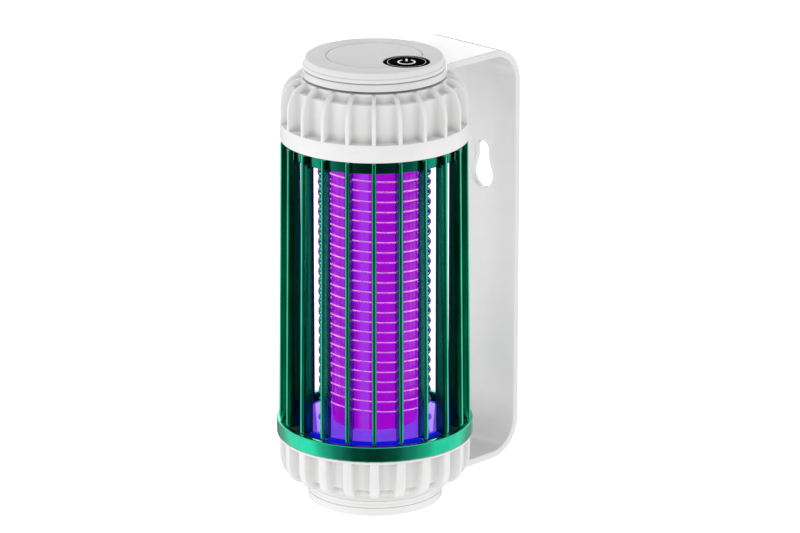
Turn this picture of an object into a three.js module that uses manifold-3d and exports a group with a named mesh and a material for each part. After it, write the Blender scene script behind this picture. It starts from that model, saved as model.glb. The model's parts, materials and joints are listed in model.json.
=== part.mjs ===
// A cordless electric insect lamp in a C-shaped wall bracket.
// Millimetres, +Z up. The origin is on the lamp's axis, at the underside of its base.
// The bracket's back plate faces +Y.
import * as THREE from "three";
import { mergeVertices } from "three/addons/utils/BufferGeometryUtils.js";
import Module from "manifold-3d";

const wasm = await Module();
wasm.setup();

// Clearance between neighbours, how far a cutter runs past a face, and sides of a round
const GAP = 0.3;
const EPS = 1;
const SEGMENTS = 44;
const FINE_SEGMENTS = 48;
const BUTTON_SEGMENTS = 36;
const SMALL_SEGMENTS = 24;
const SCREW_SEGMENTS = 16;
const CELL_SEGMENTS = 28;
const LED_COLUMN_SIDES = 6;
const RIB_CURVE_STEPS = 3;
const STRAP_CURVE_STEPS = 6;
const KEYHOLE_CURVE_STEPS = 8;
const WIRE_STEPS_PER_TURN = 12;

// Rest position of the lamp in its bracket, and what is spaced around the lamp
const LAMP_TURN_DEG = 6.8;
const SLAT_COUNT = 22;
const SLAT_PHASE_DEG = -3.6;
const POST_COUNT = 6;
const POST_PHASE_DEG = -22.7;
const SOCKET_ANGLE_DEG = 180;
const SCREW_COUNT = 3;
const SCREW_PHASE_DEG = 40;

// Heights from the underside of the base
const FOOT_TOP = 3.8;
const LOCK_TOP = 7.3;
const LOWER_HOUSING_BOTTOM = 11.5;
const LOWER_WALL_BOTTOM = 15.6;
const LOWER_HOUSING_TOP = 31.9;
const LOWER_RING_TOP = 39.5;
const GRID_FLOOR_TOP = 38.6;
const UPPER_RING_BOTTOM = 170.4;
const DECK_BOTTOM = 173.6;
const UPPER_HOUSING_BOTTOM = 176.4;
const BAND_TOP = 184.8;
const UPPER_WALL_TOP = 202.6;
const UPPER_HOUSING_TOP = 206.3;
const CAP_BOTTOM = 211;
const CAP_TOP = 216;

// Radii
const CAP_RADIUS = 32;
const CAP_SKIRT_RADIUS = 33.4;
const CAP_NECK_RADIUS = 25.7;
const BAND_RADIUS = 44;
const UPPER_WALL_RADIUS = 38.5;
const UPPER_COLLAR_RADIUS = 34.2;
const UPPER_RIB_ROOT = 32;
const UPPER_HOUSING_MOUTH = 24;
const LOWER_RIB_RADIUS = 45.5;
const LOWER_WALL_RADIUS = 40;
const LOWER_COLLAR_RADIUS = 36.5;
const LOWER_RIB_ROOT = 35;
const UPPER_RING_RADIUS = 41.1;
const UPPER_RING_BORE = 38;
const LOWER_RING_RADIUS = 46.5;
const LOWER_RING_BORE = 43.3;
const SLAT_INNER_RADIUS = 38.6;
const SLAT_TOP_RADIUS = 44.1;
const SLAT_BOTTOM_RADIUS = 45.7;
const DECK_RADIUS = 37.7;
const FLOOR_RADIUS = 36;
const TUBE_RADIUS = 20.3;
const LED_COLUMN_RADIUS = 9;
const POST_INNER_RADIUS = 20.7;
const POST_OUTER_RADIUS = 24.5;
const WIRE_RADIUS = 26.2;
const DECK_SCREW_CIRCLE = 32;
const BASE_RADIUS = 32;
const NECK_OUTER_RADIUS = 29.2;
const NECK_INNER_RADIUS = 27.5;
const TRAY_RADIUS = 27;

// Sheet thicknesses and small sections
const SHELL = 2.4;
const SLAT_THICKNESS = 2.2;
const UPPER_RIB_THICKNESS = 1.9;
const LOWER_RIB_THICKNESS = 4.2;
const POST_THICKNESS = 2;
const TUBE_WALL = 1.5;
const FLOOR_THICKNESS = 2.5;
const FLANGE_THICKNESS = 1.2;
const FLANGE_OVERHANG = 0.5;
const PAD_THICKNESS = 1.2;

// Ends of the ribs: a quarter ellipse, this far in and this far along
const UPPER_RIB_DROP = 13;
const LOWER_RIB_REACH = 8.5;
const LOWER_RIB_RISE = 12;

// Grid wires: both start at the same post, half a turn's climb apart
const WIRE_DIAMETER = 0.9;
const WIRE_PITCH = 9.76;
const WIRE_TURNS = 12;
const WIRE_START_DEG = 97.3;
const WIRE_LOW_START = 46.14;

// Bracket
const BRACKET_WIDTH = 43;
const BRACKET_THICKNESS = 3.4;
const BRACKET_REACH = 76.9;
const BRACKET_BOTTOM = 7.6;
const BRACKET_TOP = 210.7;
const BRACKET_BEND = 17.4;
const BRACKET_UPPER_EYE = 34;
const BRACKET_LOWER_EYE = 32.5;
const UPPER_EYE_BORE = 26.1;
const LOWER_EYE_BORE = 29.6;
const KEYHOLE_HEAD_Z = 143.2;
const KEYHOLE_HEAD_RADIUS = 6.6;
const KEYHOLE_TOP_Z = 159.8;
const KEYHOLE_SLOT_RADIUS = 4.2;
const KEYHOLE_FLARE_TOP_Z = 152.5;
const KEYHOLE_STEPS = 10;

// Button
const BUTTON_OFFSET = 18.8;
const BUTTON_RADIUS = 10.7;
const BUTTON_THICKNESS = 2.4;
const BUTTON_STEM_RADIUS = 2.5;
const BUTTON_WELL_ROOM = 1;
const STEM_CLEARANCE = 1.1;

// Electronics in the upper housing: width, depth and height, or radius and length
const SWITCH_SIZE = [6, 6, 3.4];
const SWITCH_TOP = 203.5;
const BOARD_SIZE = [40, 30, 1.6];
const BOARD_PLACE = [9, 0, 199];
const CELL_RADIUS = 9.1;
const CELL_LENGTH = 65;
const CELL_PLACE = [-5, 0, 186.5];
const CONVERTER_SIZE = [16, 14, 13];
const CONVERTER_PLACE = [17, 0, 184];

// Charging socket and the pocket in the band in front of it
const SOCKET_SIZE = [7.3, 9, 3.3];
const SOCKET_RADIUS = 37.6;
const SOCKET_Z = 180.2;
const POCKET_SIZE = [14, 11, 6.4];
const POCKET_RADIUS = 42;

// Screws under the deck
const SCREW_HEAD_RADIUS = 2.6;
const SCREW_HEAD_HEIGHT = 1.8;

// Funnel: a flange under the cage and a cone down into the tray
const FUNNEL_FLANGE_RADIUS = 42.9;
const FUNNEL_FLANGE_TOP = 34.5;
const FUNNEL_CONE_RADIUS = 36.8;
const FUNNEL_CONE_TOP = 33.7;
const FUNNEL_CONE_BOTTOM = 30.6;
const FUNNEL_MOUTH_RADIUS = 25.6;
const FUNNEL_MOUTH_TOP = 22.4;
const FUNNEL_MOUTH_BOTTOM = 20.6;

// Tray and foot
const TRAY_RIM = 20;
const TRAY_WALL = 1.6;
const FOOT_RECESS_RADIUS = 27.3;
const FOOT_RECESS_TOP = 1.5;
const FOOT_CHAMFER = 0.6;

const material = (color, roughness, metalness = 0) =>
  new THREE.MeshStandardMaterial({ color, roughness, metalness });

const WHITE_PLASTIC = [0xf0f0ef, 0.38];
const GREEN_PLATED = [0x129a72, 0.22, 0.9];
const VIOLET_PLASTIC = [0x6a3ad8, 0.3];
const STEEL = [0xc9c9cd, 0.25, 1];
const BUTTON_PLASTIC = [0x101012, 0.3];
const SWITCH_PLASTIC = [0x202022, 0.5];
const BOARD_LACQUER = [0x2f6b3a, 0.6];
const CELL_WRAP = [0x3c6fb4, 0.45];
const CONVERTER_PLASTIC = [0x2a2a2e, 0.6];
const TUBE_PLASTIC = [0xa020e0, 0.2];
const LIGHT_STRIP = [0xe6e6ea, 0.4];
const BLUE_PLASTIC = [0x1530b0, 0.35];
const PAD_FOAM = [0xd8d8d8, 0.8];

const radians = THREE.MathUtils.degToRad;
const point = (x, y) => new THREE.Vector2(x, y);

// --- Solids -----------------------------------------------------------------

// A closed three.js geometry as a solid that can be joined and cut
function toSolid(geometry) {
  const bare = new THREE.BufferGeometry();
  bare.setAttribute("position", geometry.getAttribute("position").clone());
  if (geometry.index) bare.setIndex(geometry.index.clone());
  const merged = mergeVertices(bare, 1e-4);
  const corners = merged.index.array;
  const kept = [];
  for (let i = 0; i < corners.length; i += 3) {
    const [a, b, c] = [corners[i], corners[i + 1], corners[i + 2]];
    if (a !== b && b !== c && c !== a) kept.push(a, b, c);
  }
  return new wasm.Manifold(
    new wasm.Mesh({
      numProp: 3,
      vertProperties: new Float32Array(merged.getAttribute("position").array),
      triVerts: new Uint32Array(kept),
    }),
  );
}

function toGeometry(solid) {
  const mesh = solid.getMesh();
  const geometry = new THREE.BufferGeometry();
  geometry.setAttribute("position", new THREE.BufferAttribute(mesh.vertProperties, 3));
  geometry.setIndex(new THREE.BufferAttribute(mesh.triVerts, 1));
  geometry.computeVertexNormals();
  return geometry;
}

// A closed outline of [radius, height] points turned about Z
function turned(outline, segments = SEGMENTS) {
  const points = outline.map(([radius, z]) => point(radius, z));
  const closed = outline.every(([radius]) => radius > 0);
  if (closed) points.push(points[0].clone());
  const geometry = new THREE.LatheGeometry(points, segments);
  return geometry.rotateX(Math.PI / 2);
}

const disc = (radius, bottom, top, segments = SEGMENTS) =>
  turned([[0, bottom], [radius, bottom], [radius, top], [0, top]], segments);

const tube = (inner, outer, bottom, top, segments = SEGMENTS) =>
  turned([[inner, bottom], [outer, bottom], [outer, top], [inner, top]], segments);

// An outline in the radius-height plane, given thickness across that plane
function plate(shape, thickness, curveSegments = RIB_CURVE_STEPS) {
  const geometry = new THREE.ExtrudeGeometry(shape, {
    depth: thickness,
    bevelEnabled: false,
    curveSegments,
  });
  return geometry.rotateX(Math.PI / 2).translate(0, thickness / 2, 0);
}

function box([width, depth, height], [x, y, z]) {
  return new THREE.BoxGeometry(width, depth, height).translate(x, y, z);
}

const polygon = (outline) => new THREE.Shape(outline.map(([x, y]) => point(x, y)));

function joined(geometries) {
  return geometries.map(toSolid).reduce((sum, solid) => sum.add(solid));
}

function cut(solid, geometries) {
  return geometries.map(toSolid).reduce((rest, cutter) => rest.subtract(cutter), solid);
}

const spaced = (count, phaseDeg) =>
  Array.from({ length: count }, (_, i) => radians(phaseDeg + (360 * i) / count));

// --- Scene graph ------------------------------------------------------------

const insectLamp = new THREE.Group();
const lamp = new THREE.Group();
lamp.rotation.z = radians(LAMP_TURN_DEG);
insectLamp.add(lamp);

function place(parent, name, geometry, finish, angle = 0) {
  const mesh = new THREE.Mesh(geometry, material(...finish));
  mesh.name = name;
  mesh.rotation.z = angle;
  parent.add(mesh);
  return mesh;
}

const numbered = (name, index) => `${name}_${String(index + 1).padStart(2, "0")}`;

// --- Bracket ----------------------------------------------------------------

// The C strap, seen from the side: its outline runs along +Y and up
function strapShape() {
  const inner = BRACKET_BEND - BRACKET_THICKNESS;
  const [outY, inY] = [BRACKET_REACH, BRACKET_REACH - BRACKET_THICKNESS];
  const bendY = BRACKET_REACH - BRACKET_BEND;
  const [low, high] = [BRACKET_BOTTOM + BRACKET_BEND, BRACKET_TOP - BRACKET_BEND];
  const shape = new THREE.Shape();
  shape.moveTo(0, BRACKET_BOTTOM);
  shape.lineTo(bendY, BRACKET_BOTTOM);
  shape.absarc(bendY, low, BRACKET_BEND, -Math.PI / 2, 0);
  shape.lineTo(outY, high);
  shape.absarc(bendY, high, BRACKET_BEND, 0, Math.PI / 2);
  shape.lineTo(0, BRACKET_TOP);
  shape.lineTo(0, BRACKET_TOP - BRACKET_THICKNESS);
  shape.lineTo(bendY, BRACKET_TOP - BRACKET_THICKNESS);
  shape.absarc(bendY, high, inner, Math.PI / 2, 0, true);
  shape.lineTo(inY, low);
  shape.absarc(bendY, low, inner, 0, -Math.PI / 2, true);
  shape.lineTo(0, BRACKET_BOTTOM + BRACKET_THICKNESS);
  return shape;
}

// A keyhole seen from the front: round head below, flaring smoothly from the slot above
function keyholeShape() {
  const slotCentre = KEYHOLE_TOP_Z - KEYHOLE_SLOT_RADIUS;
  const flare = Array.from({ length: KEYHOLE_STEPS + 1 }, (_, i) => {
    const t = i / KEYHOLE_STEPS;
    const ease = t * t * (3 - 2 * t);
    return point(
      KEYHOLE_SLOT_RADIUS + (KEYHOLE_HEAD_RADIUS - KEYHOLE_SLOT_RADIUS) * ease,
      KEYHOLE_FLARE_TOP_Z + (KEYHOLE_HEAD_Z - KEYHOLE_FLARE_TOP_Z) * t,
    );
  });
  const shape = new THREE.Shape();
  shape.absarc(0, slotCentre, KEYHOLE_SLOT_RADIUS, 0, Math.PI);
  flare.forEach(({ x, y }) => shape.lineTo(-x, y));
  shape.absarc(0, KEYHOLE_HEAD_Z, KEYHOLE_HEAD_RADIUS, Math.PI, 2 * Math.PI);
  flare.reverse().forEach(({ x, y }) => shape.lineTo(x, y));
  return shape;
}

function wallBracket() {
  const strap = plate(strapShape(), BRACKET_WIDTH, STRAP_CURVE_STEPS).rotateZ(Math.PI / 2);
  const lowerEyeTop = BRACKET_BOTTOM + BRACKET_THICKNESS;
  const upperEyeBottom = BRACKET_TOP - BRACKET_THICKNESS;
  const body = joined([
    strap,
    disc(BRACKET_UPPER_EYE, upperEyeBottom, BRACKET_TOP, FINE_SEGMENTS),
    disc(BRACKET_LOWER_EYE, BRACKET_BOTTOM, lowerEyeTop, FINE_SEGMENTS),
  ]);
  const keyhole = plate(keyholeShape(), BRACKET_THICKNESS + 2 * EPS, KEYHOLE_CURVE_STEPS);
  keyhole.translate(0, BRACKET_REACH - BRACKET_THICKNESS / 2, 0);
  return cut(body, [
    disc(UPPER_EYE_BORE, upperEyeBottom - EPS, BRACKET_TOP + EPS, FINE_SEGMENTS),
    disc(LOWER_EYE_BORE, BRACKET_BOTTOM - EPS, lowerEyeTop + EPS, FINE_SEGMENTS),
    keyhole,
  ]);
}

// --- Cap, button and electronics --------------------------------------------

function topCap() {
  const neckBottom = UPPER_HOUSING_TOP + GAP;
  const neckBore = CAP_NECK_RADIUS - SHELL;
  const body = toSolid(
    turned([
      [0, CAP_BOTTOM],
      [neckBore, CAP_BOTTOM],
      [neckBore, neckBottom],
      [CAP_NECK_RADIUS, neckBottom],
      [CAP_NECK_RADIUS, CAP_BOTTOM],
      [CAP_SKIRT_RADIUS, CAP_BOTTOM],
      [CAP_RADIUS, CAP_TOP],
      [0, CAP_TOP],
    ]),
  );
  const wellBottom = CAP_TOP - BUTTON_THICKNESS - BUTTON_WELL_ROOM;
  const well = disc(BUTTON_RADIUS + GAP, wellBottom, CAP_TOP + EPS, BUTTON_SEGMENTS);
  const stemHole = disc(BUTTON_STEM_RADIUS + GAP, CAP_BOTTOM - EPS, CAP_TOP, SMALL_SEGMENTS);
  return cut(body, [well.translate(BUTTON_OFFSET, 0, 0), stemHole.translate(BUTTON_OFFSET, 0, 0)]);
}

function powerButton() {
  const pad = disc(BUTTON_RADIUS, CAP_TOP - BUTTON_THICKNESS, CAP_TOP, BUTTON_SEGMENTS);
  const stemTop = CAP_TOP - BUTTON_THICKNESS / 2;
  const stem = disc(BUTTON_STEM_RADIUS, SWITCH_TOP + STEM_CLEARANCE, stemTop, SMALL_SEGMENTS);
  return joined([pad, stem]).translate(BUTTON_OFFSET, 0, 0);
}

// The floor under the electronics, held by pan-head screws
const upperDeck = () => disc(DECK_RADIUS, DECK_BOTTOM, UPPER_HOUSING_BOTTOM - GAP);

function deckScrew() {
  const top = DECK_BOTTOM - GAP;
  const head = disc(SCREW_HEAD_RADIUS, top - SCREW_HEAD_HEIGHT, top, SCREW_SEGMENTS);
  return head.translate(DECK_SCREW_CIRCLE, 0, 0);
}

// --- Ribbed housings --------------------------------------------------------

// One rib of the upper housing, rounded over towards the bracket's eye
function upperRibShape() {
  const reach = BAND_RADIUS - UPPER_COLLAR_RADIUS;
  const shape = new THREE.Shape();
  const innerRadius = UPPER_WALL_RADIUS - SHELL / 2;
  shape.moveTo(innerRadius, BAND_TOP - EPS);
  shape.lineTo(BAND_RADIUS, BAND_TOP - EPS);
  const centreZ = UPPER_HOUSING_TOP - UPPER_RIB_DROP;
  shape.lineTo(BAND_RADIUS, centreZ);
  shape.absellipse(
    UPPER_COLLAR_RADIUS, centreZ, reach, UPPER_RIB_DROP, 0, Math.PI / 2, false,
  );
  shape.lineTo(UPPER_RIB_ROOT, UPPER_HOUSING_TOP);
  shape.lineTo(UPPER_RIB_ROOT, UPPER_WALL_TOP - EPS);
  shape.lineTo(innerRadius, UPPER_WALL_TOP - EPS);
  return shape;
}

function upperHousing() {
  const bore = UPPER_WALL_RADIUS - SHELL;
  const shell = turned([
    [bore, UPPER_HOUSING_BOTTOM],
    [BAND_RADIUS, UPPER_HOUSING_BOTTOM],
    [BAND_RADIUS, BAND_TOP],
    [UPPER_WALL_RADIUS, BAND_TOP],
    [UPPER_WALL_RADIUS, UPPER_WALL_TOP],
    [UPPER_COLLAR_RADIUS, UPPER_WALL_TOP],
    [UPPER_COLLAR_RADIUS, UPPER_HOUSING_TOP],
    [UPPER_HOUSING_MOUTH, UPPER_HOUSING_TOP],
    [UPPER_HOUSING_MOUTH, UPPER_WALL_TOP - SHELL],
    [bore, UPPER_WALL_TOP - SHELL],
  ]);
  const ribs = spaced(SLAT_COUNT, SLAT_PHASE_DEG).map((angle) =>
    plate(upperRibShape(), UPPER_RIB_THICKNESS).rotateZ(angle),
  );
  const pocket = box(POCKET_SIZE, [POCKET_RADIUS, 0, SOCKET_Z]);
  return cut(joined([shell, ...ribs]), [pocket.rotateZ(radians(SOCKET_ANGLE_DEG))]);
}

// One rib of the lower housing: thicker than the upper ribs, and rounded under
function lowerRibShape() {
  const innerRadius = LOWER_WALL_RADIUS - SHELL / 2;
  const ribTop = LOWER_HOUSING_TOP - FLANGE_THICKNESS / 2;
  const centreRadius = LOWER_RIB_RADIUS - LOWER_RIB_REACH;
  const centreZ = LOWER_HOUSING_BOTTOM + LOWER_RIB_RISE;
  const shape = new THREE.Shape();
  shape.moveTo(LOWER_RIB_ROOT, LOWER_HOUSING_BOTTOM);
  shape.lineTo(centreRadius, LOWER_HOUSING_BOTTOM);
  shape.absellipse(
    centreRadius, centreZ, LOWER_RIB_REACH, LOWER_RIB_RISE, -Math.PI / 2, 0, false,
  );
  shape.lineTo(LOWER_RIB_RADIUS, ribTop);
  shape.lineTo(innerRadius, ribTop);
  shape.lineTo(innerRadius, LOWER_WALL_BOTTOM + EPS);
  shape.lineTo(LOWER_RIB_ROOT, LOWER_WALL_BOTTOM + EPS);
  return shape;
}

// The lower housing and its neck, which passes through the bracket's lower eye
function lowerHousing() {
  const bore = LOWER_WALL_RADIUS - SHELL;
  const collarBore = LOWER_COLLAR_RADIUS - SHELL;
  const floor = LOWER_HOUSING_BOTTOM + SHELL;
  const flangeRadius = LOWER_RIB_RADIUS + FLANGE_OVERHANG;
  const flangeBottom = LOWER_HOUSING_TOP - FLANGE_THICKNESS;
  const shell = turned([
    [NECK_INNER_RADIUS, FOOT_TOP + GAP],
    [NECK_OUTER_RADIUS, FOOT_TOP + GAP],
    [NECK_OUTER_RADIUS, LOWER_HOUSING_BOTTOM],
    [LOWER_COLLAR_RADIUS, LOWER_HOUSING_BOTTOM],
    [LOWER_COLLAR_RADIUS, LOWER_WALL_BOTTOM],
    [LOWER_WALL_RADIUS, LOWER_WALL_BOTTOM],
    [LOWER_WALL_RADIUS, flangeBottom],
    [flangeRadius, flangeBottom],
    [flangeRadius, LOWER_HOUSING_TOP],
    [bore, LOWER_HOUSING_TOP],
    [bore, LOWER_WALL_BOTTOM + SHELL],
    [collarBore, LOWER_WALL_BOTTOM],
    [collarBore, floor],
    [NECK_INNER_RADIUS, floor],
  ]);
  const ribs = spaced(SLAT_COUNT, SLAT_PHASE_DEG).map((angle) =>
    plate(lowerRibShape(), LOWER_RIB_THICKNESS).rotateZ(angle),
  );
  return joined([shell, ...ribs]);
}

// --- Cage -------------------------------------------------------------------

// A slat stands on the lower ring and passes in front of the upper ring
function slatShape() {
  const notch = UPPER_RING_RADIUS + GAP;
  return polygon([
    [SLAT_INNER_RADIUS, LOWER_RING_TOP + GAP],
    [SLAT_BOTTOM_RADIUS, LOWER_RING_TOP + GAP],
    [SLAT_TOP_RADIUS, UPPER_HOUSING_BOTTOM - GAP],
    [notch, UPPER_HOUSING_BOTTOM - GAP],
    [notch, UPPER_RING_BOTTOM - GAP],
    [SLAT_INNER_RADIUS, UPPER_RING_BOTTOM - GAP],
  ]);
}

// --- Grid -------------------------------------------------------------------

class GridHelix extends THREE.Curve {
  constructor(bottom) {
    super();
    this.bottom = bottom;
  }

  getPoint(t, target = new THREE.Vector3()) {
    const turns = WIRE_TURNS * t;
    const angle = radians(WIRE_START_DEG) - 2 * Math.PI * turns;
    const [x, y] = [WIRE_RADIUS * Math.cos(angle), WIRE_RADIUS * Math.sin(angle)];
    return target.set(x, y, this.bottom + WIRE_PITCH * turns);
  }
}

function gridWire(bottom) {
  const half = WIRE_DIAMETER / 2;
  return new THREE.ExtrudeGeometry(polygon([[half, 0], [0, half], [-half, 0], [0, -half]]), {
    steps: WIRE_TURNS * WIRE_STEPS_PER_TURN,
    extrudePath: new GridHelix(bottom),
    bevelEnabled: false,
  });
}

// --- Base and tray ----------------------------------------------------------

function collectorFunnel() {
  return turned([
    [FUNNEL_CONE_RADIUS, LOWER_HOUSING_TOP + GAP],
    [FUNNEL_FLANGE_RADIUS, LOWER_HOUSING_TOP + GAP],
    [FUNNEL_FLANGE_RADIUS, FUNNEL_FLANGE_TOP],
    [FUNNEL_CONE_RADIUS, FUNNEL_CONE_TOP],
    [FUNNEL_MOUTH_RADIUS, FUNNEL_MOUTH_TOP],
    [FUNNEL_MOUTH_RADIUS, FUNNEL_MOUTH_BOTTOM],
    [FUNNEL_CONE_RADIUS, FUNNEL_CONE_BOTTOM],
  ]);
}

function insectTray() {
  const floor = FOOT_TOP + GAP;
  return turned([
    [0, floor],
    [TRAY_RADIUS, floor],
    [TRAY_RADIUS, TRAY_RIM],
    [TRAY_RADIUS - TRAY_WALL, TRAY_RIM],
    [TRAY_RADIUS - TRAY_WALL, floor + TRAY_WALL],
    [0, floor + TRAY_WALL],
  ]);
}

function trayFoot() {
  return turned([
    [0, FOOT_RECESS_TOP],
    [FOOT_RECESS_RADIUS, FOOT_RECESS_TOP],
    [FOOT_RECESS_RADIUS, GAP],
    [BASE_RADIUS - FOOT_CHAMFER, GAP],
    [BASE_RADIUS, GAP + FOOT_CHAMFER],
    [BASE_RADIUS, FOOT_TOP],
    [0, FOOT_TOP],
  ]);
}

// --- Assembly ---------------------------------------------------------------

function addBracket() {
  place(insectLamp, "wall_bracket", toGeometry(wallBracket()), WHITE_PLASTIC);
}

function addTop() {
  place(lamp, "top_cap", toGeometry(topCap()), WHITE_PLASTIC);
  place(lamp, "power_button", toGeometry(powerButton()), BUTTON_PLASTIC);
  place(lamp, "upper_housing", toGeometry(upperHousing()), WHITE_PLASTIC);
  place(lamp, "upper_deck", upperDeck(), WHITE_PLASTIC);
}

function addElectronics() {
  const switchPlace = [BUTTON_OFFSET, 0, SWITCH_TOP - SWITCH_SIZE[2] / 2];
  const cell = new THREE.CylinderGeometry(CELL_RADIUS, CELL_RADIUS, CELL_LENGTH, CELL_SEGMENTS);
  const socket = box(SOCKET_SIZE, [SOCKET_RADIUS, 0, SOCKET_Z]);
  place(lamp, "switch_block", box(SWITCH_SIZE, switchPlace), SWITCH_PLASTIC);
  place(lamp, "control_board", box(BOARD_SIZE, BOARD_PLACE), BOARD_LACQUER);
  place(lamp, "battery_cell", cell.translate(...CELL_PLACE), CELL_WRAP);
  place(lamp, "hv_converter", box(CONVERTER_SIZE, CONVERTER_PLACE), CONVERTER_PLASTIC);
  place(lamp, "charging_socket", socket, STEEL, radians(SOCKET_ANGLE_DEG));
  spaced(SCREW_COUNT, SCREW_PHASE_DEG).forEach((angle, i) => {
    place(lamp, numbered("deck_screw", i), deckScrew(), STEEL, angle);
  });
}

function addCage() {
  const [upperTop, lowerBottom] = [UPPER_HOUSING_BOTTOM - GAP, LOWER_HOUSING_TOP + GAP];
  const upper = tube(UPPER_RING_BORE, UPPER_RING_RADIUS, UPPER_RING_BOTTOM, upperTop);
  const lower = tube(LOWER_RING_BORE, LOWER_RING_RADIUS, lowerBottom, LOWER_RING_TOP);
  place(lamp, "cage_ring_upper", upper, GREEN_PLATED);
  place(lamp, "cage_ring_lower", lower, GREEN_PLATED);
  spaced(SLAT_COUNT, SLAT_PHASE_DEG).forEach((angle, i) => {
    const slat = plate(slatShape(), SLAT_THICKNESS);
    place(lamp, numbered("cage_slat", i), slat, GREEN_PLATED, angle);
  });
}

function addGrid() {
  const [bottom, top] = [GRID_FLOOR_TOP + GAP, DECK_BOTTOM - GAP];
  const post = polygon([
    [POST_INNER_RADIUS, bottom],
    [POST_OUTER_RADIUS, bottom],
    [POST_OUTER_RADIUS, top],
    [POST_INNER_RADIUS, top],
  ]);
  const glass = tube(TUBE_RADIUS - TUBE_WALL, TUBE_RADIUS, bottom, top, FINE_SEGMENTS);
  const ledColumn = disc(LED_COLUMN_RADIUS, bottom, top, LED_COLUMN_SIDES);
  const floor = disc(FLOOR_RADIUS, GRID_FLOOR_TOP - FLOOR_THICKNESS, GRID_FLOOR_TOP);
  place(lamp, "lamp_tube", glass, TUBE_PLASTIC);
  place(lamp, "led_column", ledColumn, LIGHT_STRIP);
  place(lamp, "grid_floor", floor, VIOLET_PLASTIC);
  spaced(POST_COUNT, POST_PHASE_DEG).forEach((angle, i) => {
    place(lamp, numbered("grid_post", i), plate(post, POST_THICKNESS), BLUE_PLASTIC, angle);
  });
  place(lamp, "grid_wire_a", gridWire(WIRE_LOW_START + WIRE_PITCH / 2), STEEL);
  place(lamp, "grid_wire_b", gridWire(WIRE_LOW_START), STEEL);
}

function addBase() {
  const lockRing = tube(NECK_OUTER_RADIUS + GAP, BASE_RADIUS, FOOT_TOP + GAP, LOCK_TOP);
  place(lamp, "lower_housing", toGeometry(lowerHousing()), WHITE_PLASTIC);
  place(lamp, "collector_funnel", collectorFunnel(), WHITE_PLASTIC);
  place(lamp, "lock_ring", lockRing, WHITE_PLASTIC);
  place(lamp, "insect_tray", insectTray(), WHITE_PLASTIC);
  place(lamp, "tray_foot", trayFoot(), WHITE_PLASTIC);
  place(lamp, "base_pad", disc(TRAY_RADIUS, 0, PAD_THICKNESS, FINE_SEGMENTS), PAD_FOAM);
}

addBracket();
addTop();
addElectronics();
addCage();
addGrid();
addBase();

export default insectLamp;
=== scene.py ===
import json
import math

import bmesh
import bpy
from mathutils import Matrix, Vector
from mathutils.geometry import tessellate_polygon

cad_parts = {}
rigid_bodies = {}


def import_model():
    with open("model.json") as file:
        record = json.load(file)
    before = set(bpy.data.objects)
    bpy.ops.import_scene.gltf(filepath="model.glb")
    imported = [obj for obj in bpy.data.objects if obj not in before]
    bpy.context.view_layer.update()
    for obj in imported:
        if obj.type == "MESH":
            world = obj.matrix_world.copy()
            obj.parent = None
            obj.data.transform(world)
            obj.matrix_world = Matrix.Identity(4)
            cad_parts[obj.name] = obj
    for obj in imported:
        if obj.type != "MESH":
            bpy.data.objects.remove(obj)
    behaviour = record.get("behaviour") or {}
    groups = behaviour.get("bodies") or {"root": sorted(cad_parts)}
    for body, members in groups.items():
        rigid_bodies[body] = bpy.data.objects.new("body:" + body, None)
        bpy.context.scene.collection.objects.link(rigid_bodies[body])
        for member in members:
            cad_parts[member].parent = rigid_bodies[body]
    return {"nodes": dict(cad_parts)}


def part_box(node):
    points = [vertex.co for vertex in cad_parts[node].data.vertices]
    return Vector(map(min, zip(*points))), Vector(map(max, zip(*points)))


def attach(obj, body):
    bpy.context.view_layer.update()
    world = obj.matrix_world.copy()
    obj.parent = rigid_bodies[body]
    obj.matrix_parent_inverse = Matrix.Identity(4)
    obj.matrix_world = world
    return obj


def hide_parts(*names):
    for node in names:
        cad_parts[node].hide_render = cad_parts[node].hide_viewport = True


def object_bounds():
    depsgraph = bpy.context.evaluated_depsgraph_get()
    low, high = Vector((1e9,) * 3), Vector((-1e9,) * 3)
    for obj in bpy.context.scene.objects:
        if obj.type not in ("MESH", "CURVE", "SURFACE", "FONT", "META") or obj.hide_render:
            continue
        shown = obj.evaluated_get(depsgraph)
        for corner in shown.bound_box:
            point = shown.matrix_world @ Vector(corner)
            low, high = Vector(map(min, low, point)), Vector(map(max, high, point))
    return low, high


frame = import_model()
CAD_LOW, CAD_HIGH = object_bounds()

MM = 0.001
TAU = 2 * math.pi
TINY = 1e-9

# What is spaced around the lamp, in degrees in the row frame
LAMP_TURN = 6.8
TURN = math.radians(LAMP_TURN)
INLET_ANGLE = TURN + math.pi
RIB_COUNT = 22
RIB_PHASE = LAMP_TURN - 3.6
POST_COUNT = 6
POST_PHASE = LAMP_TURN - 22.7

# Camera: degrees, metres, and millimetres for the lens and the sensor
CAMERA_AZIMUTH = 44.1
CAMERA_PITCH = 17.5
CAMERA_DISTANCE = 2.207
CAMERA_SIDE = 0.01193
CAMERA_RISE = 0.0053
CAMERA_LENS = 211.32
CAMERA_SENSOR = 36.0
CAMERA_FAR = 50


def span(node):
    """Lowest and highest z of a CAD node, in millimetres."""
    low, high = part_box(node)
    return low.z / MM, high.z / MM


def reach(node):
    """Largest radius of a CAD node about the lamp's axis, in millimetres."""
    verts = frame["nodes"][node].data.vertices
    return max(math.hypot(v.co.x, v.co.y) for v in verts) / MM


def box_outline(half_width, half_height, middle=0.0):
    """A rectangle across x = 0, its middle at that height."""
    low, high = middle - half_height, middle + half_height
    return [(-half_width, low), (half_width, low), (half_width, high), (-half_width, high)]


def spaced(count, phase):
    """Angles in radians of what is spaced evenly round the lamp."""
    return [math.radians(phase + 360 * i / count) for i in range(count)]


# --- Mesh tools ---

# Corners flatter than this, in radians, stay as they are
STRAIGHT = 0.03
# An arc takes at most this share of the edges beside it
EDGE_SHARE = 0.48
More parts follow.
